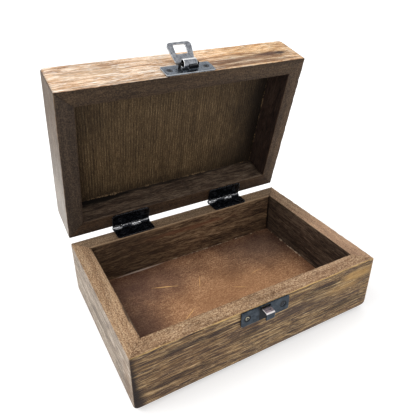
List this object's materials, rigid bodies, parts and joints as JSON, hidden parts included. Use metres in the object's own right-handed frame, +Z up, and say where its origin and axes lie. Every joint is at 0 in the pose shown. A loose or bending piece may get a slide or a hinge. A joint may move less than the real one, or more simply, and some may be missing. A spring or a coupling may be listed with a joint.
{
  "type": "hinged wooden box",
  "caption": "Small rectangular wooden keepsake box with mitred walls, a hinged lid on surface butt hinges and a front hasp latch.",
  "frame": {"origin": "centre of the flat underside of the base", "axes": "+X along the long side, -Y towards the front with the latch, +Z up; the lid stands open 76 degrees"},
  "size_m": [0.152, 0.1353, 0.1521],
  "materials": {
    "base_wood": "burnt and lightly waxed",
    "lid_wood": "burnt and lightly waxed",
    "floor_wood": "stained, matt",
    "top_wood": "rough sawn, stained",
    "hinge_black": "worn black lacquer",
    "catch_black": "blue-black lacquer",
    "hasp_steel": "gunmetal",
    "nail_steel": "blackened"
  },
  "bodies": {
    "base": {"base_front_board": "base_wood", "base_back_board": "base_wood", "base_left_board": "base_wood", "base_right_board": "base_wood", "base_bottom_panel": "floor_wood", "left_hinge_base_leaf": "hinge_black", "left_hinge_pin": "nail_steel", "left_hinge_base_nail_1": "nail_steel", "left_hinge_base_nail_2": "nail_steel", "right_hinge_base_leaf": "hinge_black", "right_hinge_pin": "nail_steel", "right_hinge_base_nail_1": "nail_steel", "right_hinge_base_nail_2": "nail_steel", "catch_plate": "catch_black", "catch_nail_1": "nail_steel", "catch_nail_2": "nail_steel"},
    "lid": {"lid_front_board": "lid_wood", "lid_back_board": "lid_wood", "lid_left_board": "lid_wood", "lid_right_board": "lid_wood", "lid_top_panel": "top_wood", "left_hinge_lid_leaf": "hinge_black", "left_hinge_lid_nail_1": "nail_steel", "left_hinge_lid_nail_2": "nail_steel", "right_hinge_lid_leaf": "hinge_black", "right_hinge_lid_nail_1": "nail_steel", "right_hinge_lid_nail_2": "nail_steel", "hasp_plate": "hasp_steel", "hasp_staple": "nail_steel", "hasp_plate_nail_1": "nail_steel", "hasp_plate_nail_2": "nail_steel"},
    "hasp": {"hasp": "hasp_steel"}
  },
  "joints": [
    {"name": "lid_hinge", "type": "hinge", "parent": "base", "child": "lid", "pos_m": [0, 0.0515, 0.0391], "axis": [-1, 0, 0], "range_deg": [-77, 104]},
    {"name": "hasp_hinge", "type": "hinge", "parent": "lid", "child": "hasp", "pos_m": [-0.0016, 0.03255, 0.1428], "axis": [-1, 0, 0], "range_deg": [-163, 33]}
  ]
}
